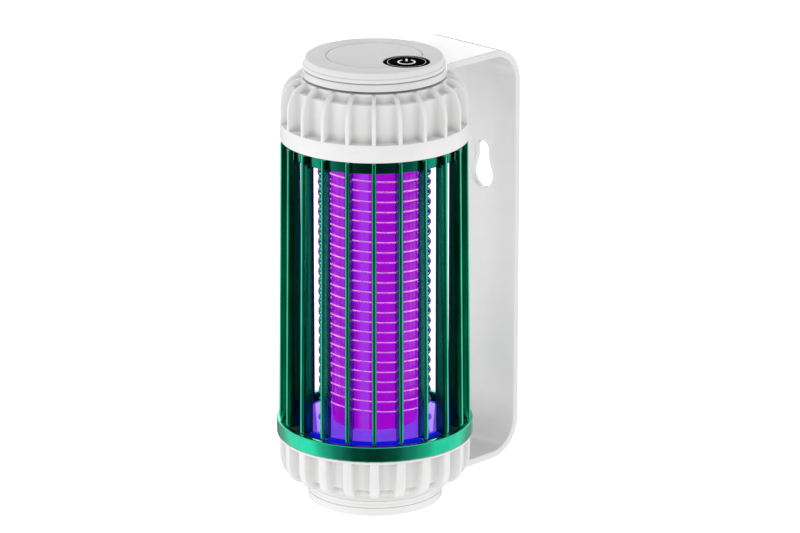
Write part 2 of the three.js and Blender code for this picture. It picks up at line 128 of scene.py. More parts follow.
# A mitred corner moves at most the distance divided by this
MITRE_LIMIT = 0.35

# A rib's section: millimetres from its middle, and how much of its height is left there
RIB_SECTION = [
    (0.0, 1.0), (0.5, 0.997), (0.72, 0.982), (0.86, 0.945), (0.93, 0.88),
    (1.0, 0.62), (1.06, 0.36), (1.13, 0.16), (1.24, 0.07), (1.42, 0.022),
    (1.75, 0.004), (2.3, 0.0), (3.3, 0.0), (4.4, 0.0), (5.3, 0.0),
]
# The half width of the rib above, and the radius at which it is measured
SECTION_HALF_WIDTH = 0.95
SECTION_RADIUS = 42.0


def rounded(outline, radius, steps=4):
    """A closed outline with an arc at each corner. A corner may give its own radius."""
    result = []
    count = len(outline)
    for i, corner in enumerate(outline):
        here = Vector(corner[:2])
        size = corner[2] if len(corner) > 2 else radius
        before = Vector(outline[i - 1][:2]) - here
        after = Vector(outline[(i + 1) % count][:2]) - here
        room = EDGE_SHARE * min(before.length, after.length)
        before.normalize()
        after.normalize()
        angle = math.acos(max(-1.0, min(1.0, before.dot(after))))
        if size <= 0 or angle > math.pi - STRAIGHT or angle < STRAIGHT:
            result.append((here.x, here.y))
            continue
        cut = min(size / math.tan(angle / 2), room)
        size = cut * math.tan(angle / 2)
        centre = here + (before + after).normalized() * (size / math.sin(angle / 2))
        first = (here + before * cut - centre) / size
        last = (here + after * cut - centre) / size
        sweep = math.acos(max(-1.0, min(1.0, first.dot(last))))
        for k in range(steps + 1):
            t = k / steps
            way = (math.sin((1 - t) * sweep) * first + math.sin(t * sweep) * last)
            spot = centre + way * (size / math.sin(sweep))
            result.append((spot.x, spot.y))
    return result


def arc(cx, cy, radius, start, end, steps):
    """Points on an arc, angles in degrees."""
    angles = [math.radians(start + (end - start) * k / steps) for k in range(steps + 1)]
    return [(cx + radius * math.cos(a), cy + radius * math.sin(a)) for a in angles]


def skin(rings, closed_rows=True):
    """Faces between successive rings of vertex indices, each ring closed round."""
    faces = []
    rows = len(rings)
    for i in range(rows if closed_rows else rows - 1):
        a, b = rings[i], rings[(i + 1) % rows]
        for k in range(len(a)):
            j = (k + 1) % len(a)
            face = []
            for corner in (a[k], a[j], b[j], b[k]):
                if corner not in face:
                    face.append(corner)
            if len(face) > 2:
                faces.append(face)
    return faces


def turned_ring(radius, z, count, verts):
    """Adds a level ring of vertices to verts and gives their numbers. No radius, one vertex."""
    start = len(verts)
    if radius < TINY:
        verts.append((0, 0, z))
        return [start] * count
    angles = [TAU * k / count for k in range(count)]
    verts += [(radius * math.cos(a), radius * math.sin(a), z) for a in angles]
    return list(range(start, start + count))


def lathe(outline, segments=144):
    """A closed outline of (radius, height) turned about the lamp's axis."""
    verts = []
    rings = [turned_ring(radius, z, segments, verts) for radius, z in outline]
    return verts, skin(rings)


def ribbed(rows, columns):
    """Rows of (height, wall radius, rib radius) round the axis; columns of (angle, weight)."""
    verts, rings = [], []
    for z, wall, rib in rows:
        start = len(verts)
        for angle, weight in columns:
            radius = wall + (rib - wall) * weight
            verts.append((radius * math.cos(angle), radius * math.sin(angle), z))
        rings.append(list(range(start, start + len(columns))))
    return verts, skin(rings)


def rib_columns(half_width):
    """Where a ribbed surface is sampled: crests, drafted sides, filleted feet and flats."""
    scale = half_width / SECTION_HALF_WIDTH
    side = [(t * scale if weight > 0 else t) / SECTION_RADIUS for t, weight in RIB_SECTION]
    weights = [weight for _, weight in RIB_SECTION]
    columns = []
    for middle in spaced(RIB_COUNT, RIB_PHASE):
        columns += [(middle - a, w) for a, w in zip(side[:0:-1], weights[:0:-1])]
        columns += [(middle + a, w) for a, w in zip(side, weights)]
    return columns


def inset(loop, distance):
    """The loop moved to its left by distance, with mitred corners."""
    result = []
    count = len(loop)
    for i in range(count):
        here = Vector(loop[i])
        first = (here - Vector(loop[i - 1])).normalized()
        second = (Vector(loop[(i + 1) % count]) - here).normalized()
        left = Vector((-first.y - second.y, first.x + second.x))
        if left.length < TINY:
            left = Vector((-first.y, first.x))
        left.normalize()
        cosine = max(MITRE_LIMIT, left.dot(Vector((-first.y, first.x))))
        spot = here + left * (distance / cosine)
        result.append((spot.x, spot.y))
    return result


def plate(outline, thickness, rounding, holes=(), steps=3):
    """A flat plate in (u, v), thick along w, with rounded edges. Holes run the other way round."""
    loops = [outline, *holes]
    levels = []
    for k in range(steps + 1):
        a = math.pi / 2 * k / steps
        levels.append((rounding * (1 - math.sin(a)), rounding * (1 - math.cos(a))))
    half = thickness / 2
    stack = [(away, -half + up) for away, up in levels]
    stack += [(away, half - up) for away, up in reversed(levels)]
    if rounding >= half - TINY:
        del stack[steps + 1]
    verts, faces, ends = [], [], [[], []]
    for loop in loops:
        rings = []
        for away, w in stack:
            start = len(verts)
            verts += [(u, v, w) for u, v in inset(loop, away)]
            rings.append(list(range(start, start + len(loop))))
        faces += skin(rings, closed_rows=False)
        ends[0].append(rings[0])
        ends[1].append(rings[-1])
    for rings, flip in ((ends[0], True), (ends[1], False)):
        flat = [i for ring in rings for i in ring]
        lines = [[Vector((verts[i][0], verts[i][1], 0)) for i in ring] for ring in rings]
        for tri in tessellate_polygon(lines):
            a, b, c = (flat[i] for i in tri)
            faces.append((c, b, a) if flip else (a, b, c))
    return verts, faces


def upright(shape, angle):
    """A plate drawn in (radius, height) stood up and turned about the axis to that angle."""
    verts, faces = shape
    c, s = math.cos(angle), math.sin(angle)
    return [(u * c + w * s, u * s - w * c, v) for u, v, w in verts], faces


def sweep(path, radius, sides=8):
    """A round wire along a list of points, with rounded-off ends."""
    verts, rings = [], []
    count = len(path)
    ends = {0: 0.05, 1: 0.75, count - 2: 0.75, count - 1: 0.05}
    for i, spot in enumerate(path):
        here = Vector(spot)
        ahead = (Vector(path[min(i + 1, count - 1)]) - Vector(path[max(i - 1, 0)])).normalized()
        outward = Vector((here.x, here.y, 0)).normalized()
        across = ahead.cross(outward).normalized()
        outward = across.cross(ahead).normalized()
        size = radius * ends.get(i, 1.0)
        start = len(verts)
        for k in range(sides):
            a = TAU * k / sides
            verts.append(tuple(here + outward * size * math.cos(a) + across * size * math.sin(a)))
        rings.append(list(range(start, start + sides)))
    faces = skin(rings, closed_rows=False)
    faces += [rings[0][::-1], rings[-1]]
    return verts, faces


def moved(shape, x, y, z=0.0):
    verts, faces = shape
    return [(a + x, b + y, c + z) for a, b, c in verts], faces


def joined(*shapes):
    """Several shapes as one."""
    verts, faces = [], []
    for more_verts, more_faces in shapes:
        start = len(verts)
        verts += more_verts
        faces += [[i + start for i in face] for face in more_faces]
    return verts, faces


def mesh_object(name, shape):
    """A new object from a shape in millimetres, with its faces turned outwards."""
    verts, faces = shape
    mesh = bpy.data.meshes.new(name)
    mesh.from_pydata([(x * MM, y * MM, z * MM) for x, y, z in verts], [], faces)
    obj = bpy.data.objects.new(name, mesh)
    bpy.context.scene.collection.objects.link(obj)
    face_outwards(mesh)
    return obj


def make(name, shape, finish, body, replaced=(), sharp=32, cutters=()):
    """A finished piece: placed, cut, smoothed and riding its body."""
    obj = mesh_object(name, shape)
    for cutter in cutters:
        cut_away(obj, cutter)
    mesh = obj.data
    mesh.name = name
    mesh.materials.clear()
    mesh.materials.append(finish.material)
    mesh.polygons.foreach_set("use_smooth", [True] * len(mesh.polygons))
    mesh.set_sharp_from_angle(angle=math.radians(sharp))
    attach(obj, body)
    if replaced:
        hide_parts(*replaced)
    return obj


def face_outwards(mesh):
    """Welds doubled vertices and makes every face look out of the solid."""
    bm = bmesh.new()
    bm.from_mesh(mesh)
    bmesh.ops.remove_doubles(bm, verts=bm.verts, dist=1e-7)
    bmesh.ops.recalc_face_normals(bm, faces=bm.faces)
    bm.to_mesh(mesh)
    bm.free()


def cut_away(obj, shape):
    """Takes a closed shape, in millimetres, out of obj for good."""
    cutter = mesh_object("cutter", shape)
    mesh = cutter.data
    modifier = obj.modifiers.new("cut", "BOOLEAN")
    modifier.operation = "DIFFERENCE"
    modifier.solver = "EXACT"
    modifier.object = cutter
    depsgraph = bpy.context.evaluated_depsgraph_get()
    result = bpy.data.meshes.new_from_object(obj.evaluated_get(depsgraph))
    obj.modifiers.clear()
    old = obj.data
    obj.data = result
    bpy.data.meshes.remove(old)
    bpy.data.objects.remove(cutter)
    bpy.data.meshes.remove(mesh)


# --- Materials ---


class Nodes:
    """Makes and links the nodes of one tree."""

    def __init__(self, tree, coordinates):
        self.tree = tree
        self.place = self.add("ShaderNodeTexCoord").outputs[coordinates]

    def add(self, kind, **values):
        node = self.tree.nodes.new(kind)
        for key, value in values.items():
            setattr(node, key, value)
        return node

    def link(self, out, into):
        self.tree.links.new(out, into)

    def stretched(self, x, y, z):
        node = self.add("ShaderNodeMapping")
        node.inputs["Scale"].default_value = (x, y, z)
        self.link(self.place, node.inputs["Vector"])
        return node.outputs["Vector"]

    def noise(self, scale, detail=3.0, rough=0.5, place=None):
        node = self.add("ShaderNodeTexNoise")
        node.inputs["Scale"].default_value = scale
        node.inputs["Detail"].default_value = detail
        node.inputs["Roughness"].default_value = rough
        self.link(place or self.place, node.inputs["Vector"])
        return node.outputs["Fac"]

    def remap(self, value, low, high, to_low, to_high):
        node = self.add("ShaderNodeMapRange")
        numbers = {"From Min": low, "From Max": high, "To Min": to_low, "To Max": to_high}
        for key, number in numbers.items():
            node.inputs[key].default_value = number
        self.link(value, node.inputs["Value"])
        return node.outputs["Result"]

    def maths(self, operation, first, second=None):
        node = self.add("ShaderNodeMath", operation=operation)
        for i, value in enumerate((first, second)):
            if value is None:
                continue
            if isinstance(value, (int, float)):
                node.inputs[i].default_value = value
            else:
                self.link(value, node.inputs[i])
        return node.outputs["Value"]

    def mix(self, amount, first, second):
        node = self.add("ShaderNodeMix", data_type="RGBA")
        self.link(amount, node.inputs["Factor"])
        for key, value in ((6, first), (7, second)):
            if isinstance(value, tuple):
                node.inputs[key].default_value = (*value, 1.0)
            else:
                self.link(value, node.inputs[key])
        return node.outputs[2]

    def along(self, x, y, z):
        """How far a place lies in a direction."""
        node = self.add("ShaderNodeVectorMath", operation="DOT_PRODUCT")
        node.inputs[1].default_value = (x, y, z)
        self.link(self.place, node.inputs[0])
        return node.outputs["Value"]

    def grey_ramp(self, value, stops, ease=False):
        """A value to a grey, by a grey at each (place, value)."""
        ramp = self.add("ShaderNodeValToRGB")
        elements = ramp.color_ramp.elements
        while len(elements) < len(stops):
            elements.new(0.5)
        for element, (place, grey) in zip(elements, stops):
            element.position = place
            element.color = (grey, grey, grey, 1)
        if ease:
            ramp.color_ramp.interpolation = "EASE"
        self.link(value, ramp.inputs["Fac"])
        return ramp.outputs["Color"]


class Finish(Nodes):
    """A node material in object coordinates, which are the row frame at rest."""

    def __init__(self, name):
        self.material = bpy.data.materials.new(name)
        self.material.use_nodes = True
        self.shader = self.material.node_tree.nodes["Principled BSDF"]
        super().__init__(self.material.node_tree, "Object")

    def fixed(self, **values):
        for key, value in values.items():
            self.shader.inputs[key.replace("_", " ")].default_value = value

    def edges(self, radius, low=0.02, high=0.25):
        """1 on edges tighter than the radius, 0 on flat faces."""
        bevel = self.add("ShaderNodeBevel", samples=4)
        bevel.inputs["Radius"].default_value = radius * MM
        geometry = self.add("ShaderNodeNewGeometry")
        dot = self.add("ShaderNodeVectorMath", operation="DOT_PRODUCT")
        self.link(bevel.outputs["Normal"], dot.inputs[0])
        self.link(geometry.outputs["Normal"], dot.inputs[1])
        return self.remap(self.maths("SUBTRACT", 1.0, dot.outputs["Value"]), low, high, 0.0, 1.0)

    def painted_shade_mask(self, distance):
        """1 deep in corners and gaps, 0 on open faces: where painted shade darkens the colour."""
        node = self.add("ShaderNodeAmbientOcclusion", samples=4)
        node.inputs["Distance"].default_value = distance * MM
        return self.remap(node.outputs["AO"], 0.25, 0.85, 1.0, 0.0)

    def bump(self, *layers):
        """Layers of (height, strength, depth in mm), the coarse one first."""
        normal = None
        for height, strength, depth in layers:
            node = self.add("ShaderNodeBump")
            node.inputs["Strength"].default_value = strength
            node.inputs["Distance"].default_value = depth * MM
            self.link(height, node.inputs["Height"])
            if normal:
                self.link(normal, node.inputs["Normal"])
            normal = node.outputs["Normal"]
        self.link(normal, self.shader.inputs["Normal"])

    def colour(self, socket):
        self.link(socket, self.shader.inputs["Base Color"])

    def glow(self, socket):
        self.link(socket, self.shader.inputs["Emission Color"])

    def roughness(self, socket):
        self.link(socket, self.shader.inputs["Roughness"])


def tone(colour, factor):
    """The colour made darker or paler."""
    return tuple(min(1.0, c * factor) for c in colour)


def plastic(name, colour, rough, grain=0.25, variation=0.04, wear=(1.0, 1.0, 1.0), painted_shade=0.0):
    """Moulded plastic: cloudy colour, a grain, fine scuffs, rubbed edges, and painted shade that darkens the
    hollows.
    """
    f = Finish(name)
    dark, pale = tone(colour, 1 - variation), tone(colour, 1 + variation / 2)
    base = f.mix(f.remap(f.noise(38, 4, 0.6), 0.3, 0.7, 0, 1), dark, pale)
    base = f.mix(f.remap(f.noise(900, 2, 0.5), 0.68, 0.8, 0, 0.35), base, tone(colour, 0.86))
    rub = f.maths("MULTIPLY", f.edges(0.5), f.remap(f.noise(120, 3), 0.35, 0.65, 0.15, 1.0))
    base = f.mix(f.maths("MULTIPLY", rub, 0.25), base, wear)
    if painted_shade:
        # Painted shade: darkens the colour deep in corners and gaps, towards a third of its brightness.
        base = f.mix(f.maths("MULTIPLY", f.painted_shade_mask(4.0), painted_shade), base, tone(colour, 0.35))
    f.colour(base)
    scuff = f.noise(70, 6, 0.7, f.stretched(1, 1, 7))
    f.roughness(f.remap(scuff, 0.3, 0.75, rough - 0.05, rough + 0.1))
    f.bump((f.noise(55, 2), 0.12, 0.12), (f.noise(1500, 2, 0.6), grain, 0.03))
    f.fixed(IOR=1.49)
    return f


def from_axis(f, inner, outer):
    """0 at the inner radius and 1 at the outer one, in millimetres from the lamp's axis."""
    flat = f.add("ShaderNodeVectorMath", operation="MULTIPLY")
    flat.inputs[1].default_value = (1.0, 1.0, 0.0)
    f.link(f.place, flat.inputs[0])
    length = f.add("ShaderNodeVectorMath", operation="LENGTH")
    f.link(flat.outputs["Vector"], length.inputs[0])
    return f.remap(length.outputs["Value"], inner * MM, outer * MM, 0.0, 1.0)


def green_plate():
    """Green plating over bright metal, with fine vertical rolling lines and painted shade that darkens it
    towards the lamp's axis.
    """
    f = Finish("green plating")
    deep, bright = (0.012, 0.40, 0.235), (0.022, 0.52, 0.31)
    lines = f.noise(900, 3, 0.6, f.stretched(1, 1, 0.02))
    base = f.mix(f.remap(f.noise(45, 3), 0.35, 0.65, 0, 1), deep, bright)
    base = f.mix(f.remap(lines, 0.45, 0.7, 0, 0.25), base, (0.03, 0.6, 0.4))
    rub = f.maths("MULTIPLY", f.edges(0.35, 0.05, 0.4), f.remap(f.noise(200, 3), 0.4, 0.65, 0, 1))
    base = f.mix(f.maths("MULTIPLY", rub, 0.3), base, (0.12, 0.85, 0.62))
    # Painted shade: the colour deepens to a near-black green towards the inner edges of the slats and rings,
    # where shade falls.
    f.colour(f.mix(from_axis(f, 39.5, 44.6), (0.001, 0.07, 0.06), base))
    f.roughness(f.remap(f.noise(160, 4), 0.3, 0.7, 0.15, 0.22))
    f.bump((f.noise(60, 2), 0.04, 0.15), (lines, 0.08, 0.02))
    f.fixed(Metallic=1.0)
    return f


def steel(name, colour=(0.72, 0.72, 0.75), rough=0.28):
    """Drawn or rolled bare metal."""
    f = Finish(name)
    drawn = f.noise(1400, 2, 0.5, f.stretched(1, 1, 0.2))
    base = f.mix(f.remap(f.noise(90, 3), 0.3, 0.7, 0, 1), tone(colour, 0.85), tone(colour, 1.1))
    f.colour(base)
    f.roughness(f.remap(drawn, 0.3, 0.7, rough - 0.07, rough + 0.1))
    f.bump((drawn, 0.15, 0.02))
    f.fixed(Metallic=1.0)
    return f


def grid_steel():
    """Pink wire with painted light, a pink glow in front of the tube, and painted shade, deep violet, where
    it passes beside the tube across the camera's view.
    """
    f = steel("grid wire", (0.95, 0.45, 0.95), 0.24)
    right = math.radians(CAMERA_AZIMUTH)
    across = f.along(math.cos(right), math.sin(right), 0.0)
    # Painted shade: where the wire passes beside the tube, as seen from the camera's side, it turns deep
    # violet.
    painted_shade_beside = f.remap(f.maths("ABSOLUTE", across), 21.5 * MM, 24.5 * MM, 0.0, 1.0)
    bright = f.shader.inputs["Base Color"].links[0].from_socket
    f.colour(f.mix(painted_shade_beside, bright, (0.05, 0.01, 0.22)))
    # Painted light: the wire is no lamp, yet it glows pink, and only faintly where it passes beside the
    # tube.
    f.glow(f.mix(painted_shade_beside, (0.75, 0.1, 0.95), (0.03, 0.0, 0.12)))
    f.fixed(Emission_Strength=0.25)
    return f


def around(f, turn):
    """The angle about the lamp's axis, from 0 to 1, starting at turn degrees."""
    parts = f.add("ShaderNodeSeparateXYZ")
    f.link(f.place, parts.inputs[0])
    angle = f.maths("ARCTAN2", parts.outputs["Y"], parts.outputs["X"])
    angle = f.maths("DIVIDE", f.maths("SUBTRACT", angle, math.radians(turn)), TAU)
    return f.maths("FRACT", f.maths("ADD", angle, 2.0))


def lit_tube():
    """The lit violet tube: strips of light behind it show as paler upright bands."""
    f = Finish("lit tube")
    wave = f.noise(26, 3, 0.6, f.stretched(1, 1, 3))
    turn = f.maths("MULTIPLY", around(f, -70.0), 3.0)
    turn = f.maths("FRACT", f.maths("ADD", turn, f.remap(wave, 0.3, 0.7, -0.006, 0.006)))
    band = f.remap(turn, 0.0, 0.06, 0.0, 1.0)
    band = f.maths("MULTIPLY", band, f.remap(turn, 0.135, 0.145, 1.0, 0.0))
    deep = f.mix(f.remap(f.noise(30, 2), 0.3, 0.7, 0, 1), (0.30, 0.0, 0.52), (0.36, 0.004, 0.62))
    f.glow(f.mix(f.maths("MULTIPLY", band, 0.55), deep, (0.33, 0.045, 0.84)))
    f.fixed(Emission_Strength=0.92, Specular_IOR_Level=0.12)
    f.colour(f.mix(band, (0.05, 0.0, 0.09), (0.06, 0.01, 0.12)))
    f.roughness(f.remap(f.noise(140, 3), 0.3, 0.7, 0.12, 0.22))
    f.bump((f.noise(90, 2), 0.08, 0.1))
    return f


def lit_floor():
    """Polished violet plastic, with the lamp's light on it painted on as a glow."""
    f = Finish("violet floor")
    cloud = f.remap(f.noise(60, 3), 0.3, 0.7, 0, 1)
    f.colour(f.mix(cloud, (0.19, 0.06, 0.6), (0.24, 0.08, 0.7)))
    # Painted light: the disc is no lamp; its glow stands for the light falling on it from the tube.
    f.glow(f.mix(cloud, (0.055, 0.016, 0.42), (0.065, 0.022, 0.48)))
    f.fixed(Emission_Strength=0.78, Metallic=0.12, Specular_IOR_Level=0.1)
    f.roughness(f.remap(f.noise(220, 4), 0.3, 0.7, 0.04, 0.1))
    f.bump((f.noise(40, 2), 0.08, 0.15), (f.noise(1200, 2), 0.06, 0.02))
    return f


def floor_edge():
    """The edge of the same plastic, deep blue, with the lamp's light inside it painted on as a glow."""
    f = Finish("blue floor edge")
    cloud = f.remap(f.noise(80, 3), 0.3, 0.7, 0, 1)
    f.colour(f.mix(cloud, (0.0, 0.005, 0.3), (0.0, 0.01, 0.4)))
    # Painted light: the rim is no lamp; its glow stands for the tube's light inside the plastic.
    f.glow(f.mix(cloud, (0.0, 0.0, 0.34), (0.002, 0.001, 0.42)))
    f.fixed(Emission_Strength=0.85, Specular_IOR_Level=0.05)
    f.roughness(f.remap(f.noise(240, 3), 0.3, 0.7, 0.3, 0.45))
    f.bump((f.noise(900, 2), 0.1, 0.02))
    return f


def post_blue():
    """Polished blue metal."""
    f = Finish("blue post")
    cloud = f.remap(f.noise(70, 3), 0.3, 0.7, 0, 1)
    f.colour(f.mix(cloud, (0.008, 0.02, 0.5), (0.016, 0.045, 0.7)))
    f.roughness(f.remap(f.noise(260, 3), 0.3, 0.7, 0.2, 0.34))
    f.bump((f.noise(700, 2), 0.12, 0.03))
    f.fixed(Metallic=0.8)
    return f


def circuit():
    """Solder mask with tracks under it."""
    f = Finish("circuit board")
    grid = f.add("ShaderNodeTexBrick")
    grid.inputs["Scale"].default_value = 220
    grid.inputs["Color1"].default_value = (0.01, 0.10, 0.035, 1)
    grid.inputs["Color2"].default_value = (0.015, 0.13, 0.045, 1)
    grid.inputs["Mortar"].default_value = (0.03, 0.24, 0.08, 1)
    f.link(f.place, grid.inputs["Vector"])
    f.colour(f.mix(f.remap(f.noise(300, 3), 0.6, 0.7, 0, 1), grid.outputs["Color"], (0.03, 0.2, 0.07)))
    f.roughness(f.remap(f.noise(200, 3), 0.3, 0.7, 0.3, 0.5))
    f.bump((grid.outputs["Fac"], 0.2, 0.05))
    return f


def floor_paint():
    """Matt and almost white, with a light of its own."""
    f = Finish("studio floor")
    f.colour(f.mix(f.remap(f.noise(2, 3), 0.3, 0.7, 0, 1), (0.93, 0.93, 0.93), (0.96, 0.96, 0.96)))
    f.fixed(Roughness=0.9, Emission_Color=(1, 1, 1, 1), Emission_Strength=0.72, Specular_IOR_Level=0.0)
    return f


# The white plastic carries painted shade in its corners and gaps.
WHITE = plastic("white plastic", (0.825, 0.822, 0.819), 0.36, painted_shade=0.55)
CAP = plastic("cap plastic", (0.78, 0.779, 0.778), 0.6, grain=0.4)
CAP.fixed(Specular_IOR_Level=0.3)
BRACKET = plastic("bracket plastic", (0.755, 0.754, 0.752), 0.15, grain=0.15)
BLACK = plastic("black plastic", (0.004, 0.004, 0.0045), 0.25, 0.1, 0.3, (0.05, 0.05, 0.055))
BLACK.fixed(Specular_IOR_Level=0.0)
DARK = plastic("dark plastic", (0.03, 0.03, 0.033), 0.45, 0.3, 0.2, (0.12, 0.12, 0.12))
SHADE = plastic("dark green plastic", (0.004, 0.035, 0.03), 0.6, 0.3, 0.2, (0.02, 0.08, 0.07))
SHADE.fixed(Specular_IOR_Level=0.1)
MARK = plastic("printed mark", (0.86, 0.86, 0.86), 0.4, 0.1)
PAD = plastic("pad rubber", (0.62, 0.62, 0.61), 0.75, 0.5, 0.08, (0.7, 0.7, 0.69))
WRAP = plastic("battery wrap", (0.05, 0.2, 0.5), 0.35, 0.15, 0.1, (0.2, 0.4, 0.7))
LIGHT_STRIP = plastic("light strip", (0.75, 0.75, 0.78), 0.4, 0.2)
GREEN = green_plate()
WIRE = grid_steel()
STEEL = steel("bare steel")
TUBE = lit_tube()
FLOOR = lit_floor()
RIM = floor_edge()
POST = post_blue()
BOARD = circuit()


# --- Bracket ---


STRAP_HALF_WIDTH = 21.5
STRAP_THICK = 3.4
STRAP_BEND = 17.4
STRAP_ROUNDING = 0.5
UPPER_EYE, UPPER_BORE = 34.0, 26.1
LOWER_EYE, LOWER_BORE = 32.5, 29.6
BEND_STEPS = 18
PLATE_STEPS = 12


class Strap:
    """The way of the C: an arm, a bend, the wall plate, a bend and an arm."""

    def __init__(self):
        low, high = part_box("wall_bracket")
        self.bottom, self.top, self.back = low.z / MM, high.z / MM, high.y / MM
        self.arm = self.back - STRAP_BEND
        self.mid_bend = STRAP_BEND - STRAP_THICK / 2
        self.quarter = self.mid_bend * math.pi / 2
        self.plate_length = (self.top - STRAP_BEND) - (self.bottom + STRAP_BEND)
        self.plate_start = self.arm + self.quarter
        self.plate_end = self.plate_start + self.plate_length
        self.lower_arm = self.plate_end + self.quarter
        self.total = self.lower_arm + self.arm

    def cuts(self):
        """Where the flat strap is cut across, so that it can bend."""
        bend = [self.quarter * k / BEND_STEPS for k in range(BEND_STEPS + 1)]
        flat = [self.plate_length * k / PLATE_STEPS for k in range(1, PLATE_STEPS)]
        starts = ((self.arm, bend), (self.plate_end, bend), (self.plate_start, flat))
        return [start + away for start, steps in starts for away in steps]

    def in_bend(self, x, depth, angle, height):
        radius = self.mid_bend + depth
        return Vector((x, self.arm + radius * math.cos(angle), height + radius * math.sin(angle)))

    def placed(self, spot):
        """Flat (x, distance along the strap, depth) to its place on the C."""
        x, s, depth = spot
        middle = STRAP_THICK / 2
        upper, lower = self.top - STRAP_BEND, self.bottom + STRAP_BEND
        if s <= self.arm:
            return Vector((x, s, self.top - middle + depth))
        if s <= self.plate_start:
            return self.in_bend(x, depth, math.pi / 2 - (s - self.arm) / self.mid_bend, upper)
        if s <= self.plate_end:
            return Vector((x, self.back - middle + depth, upper - (s - self.plate_start)))
        if s <= self.lower_arm:
            return self.in_bend(x, depth, -(s - self.plate_end) / self.mid_bend, lower)
        return Vector((x, self.arm - (s - self.lower_arm), self.bottom + middle - depth))


def bracket():
    """The C strap, drawn flat with its eyes and keyhole, then bent round its two corners."""
    strap = Strap()
    first = math.degrees(math.acos(STRAP_HALF_WIDTH / UPPER_EYE))
    last = math.degrees(math.acos(STRAP_HALF_WIDTH / LOWER_EYE))
    outline = arc(0, strap.total, LOWER_EYE, -last, 180 + last, 72)
    outline += arc(0, 0, UPPER_EYE, 180 - first, 360 + first, 72)
    plate_top = strap.plate_start + (strap.top - STRAP_BEND)
    keyhole = [(x, plate_top - z) for x, z in keyhole_outline()]
    holes = [arc(0, 0, UPPER_BORE, 360, 5, 71), arc(0, strap.total, LOWER_BORE, 360, 5, 71), keyhole]
    verts, faces = plate(outline, STRAP_THICK, STRAP_ROUNDING, holes, 4)

    bm = bmesh.new()
    made = [bm.verts.new(v) for v in verts]
    for face in faces:
        bm.faces.new([made[i] for i in face])
    for s in strap.cuts():
        everything = bm.verts[:] + bm.edges[:] + bm.faces[:]
        bmesh.ops.bisect_plane(bm, geom=everything, plane_co=(0, s, 0), plane_no=(0, 1, 0))
    for v in bm.verts:
        v.co = strap.placed(v.co)
    bm.verts.index_update()
    shape = ([tuple(v.co) for v in bm.verts], [[v.index for v in face.verts] for face in bm.faces])
    bm.free()
    make("bracket_strap", shape, BRACKET, "bracket", ["wall_bracket"], 30)


def keyhole_outline():
    """(x, height) round the keyhole: a round head that narrows smoothly to the slot."""
    head, head_radius = 143.2, 6.6
    slot_top, slot_radius = 159.8, 4.2
    flare_top, flare_steps = 152.5, 12
    slot_centre = slot_top - slot_radius
    flare = []
    for k in range(1, flare_steps):
        t = k / flare_steps
        ease = t * t * (3 - 2 * t)
        flare.append((head_radius - (head_radius - slot_radius) * ease, head + (flare_top - head) * t))
    outline = arc(0, head, head_radius, 180, 360, 32) + flare
    outline += [(slot_radius, flare_top)] + arc(0, slot_centre, slot_radius, 0, 180, 24)
    outline += [(-slot_radius, flare_top)] + [(-x, z) for x, z in flare[::-1]]
    return outline


# --- Cap and button ---


def button_place():
    low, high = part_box("power_button")
    middle = (low + high) / 2 / MM
    return middle.x, middle.y


def cap():
    """The cap with its neck and groove, and the well the button moves in."""
    bottom, top = span("top_cap")
    seat = top - 5
    neck_inside, neck, rim = 23.3, 25.7, 33.4
    groove_inside, groove_outside, groove_floor = 22.0, 22.8, top - 0.8
    outline = rounded([
        (0, seat, 0), (neck_inside, seat, 0.3), (neck_inside, bottom, 0.3), (neck, bottom, 0.3),
        (neck, seat, 0.3), (rim, seat, 0.35), (rim - 0.2, seat + 1.7, 0.3), (rim - 0.8, seat + 2.0, 0.25),
        (rim - 1.4, top, 0.9), (groove_outside, top, 0.12), (groove_outside - 0.1, groove_floor, 0.08),
        (groove_inside + 0.1, groove_floor, 0.08), (groove_inside, top, 0.12), (0, top, 0),
    ], 0.2, 3)
    well, well_floor, stem = 11.0, top - 3.4, 2.8
    mouth = [(well, top - 0.25), (well + 0.35, top + 1), (0, top + 1)]
    well_outline = [(0, well_floor), (well, well_floor), *mouth]
    stem_outline = [(0, seat - 1), (stem, seat - 1), (stem, top), (0, top)]
    cutters = [lathe(well_outline, 72), lathe(stem_outline, 32)]
    cutters = [moved(cutter, *button_place()) for cutter in cutters]
    make("cap_shell", lathe(outline, 192), CAP, "lamp", ["top_cap"], 28, cutters)


def button():
    """The domed pad on its stem, with a ring and a standby mark printed on it."""
    bottom, top = span("power_button")
    x, y = button_place()
    stem, rim, under = 2.5, 10.7, top - 2.4
    pad = rounded([
        (0, bottom, 0), (stem, bottom, 0.3), (stem, under, 0.3), (rim, under, 0.3),
        (rim, top - 0.1, 0.45), (rim - 0.8, top - 0.1, 0.2), (0, top - 0.32, 0),
    ], 0.2, 4)
    make("button_pad", moved(lathe(pad, 96), x, y), BLACK, "button", ["power_button"], 30)
    face, print_thick, print_edge = top - 0.22, 0.2, 0.06
    ring = plate(arc(0, 0, 9.4, 0, 356, 89), print_thick, print_edge, [arc(0, 0, 8.75, 356, 0, 89)], 2)
    gap_start, gap_end = 122, 418
    power = arc(0, 0, 4.3, gap_start, gap_end, 44) + arc(0, 0, 3.45, gap_end, gap_start, 44)
    symbol = plate(rounded(power, 0.2, 2), print_thick, print_edge, (), 2)
    bar = plate(rounded(box_outline(0.45, 1.9, 3.3), 0.4, 4), print_thick, print_edge, (), 2)
    a = math.radians(CAMERA_AZIMUTH)
    verts, faces = joined(ring, symbol, bar)
    turned = [(u * math.cos(a) - v * math.sin(a), u * math.sin(a) + v * math.cos(a), w) for u, v, w in verts]
    make("button_mark", moved((turned, faces), x, y, face), MARK, "button")


# --- Ribbed housings ---


ROW_STEP = 4
UPPER_RIB_HALF = 0.95
LOWER_RIB_HALF = 2.1
LOWER_RIB_POWER = 2.4


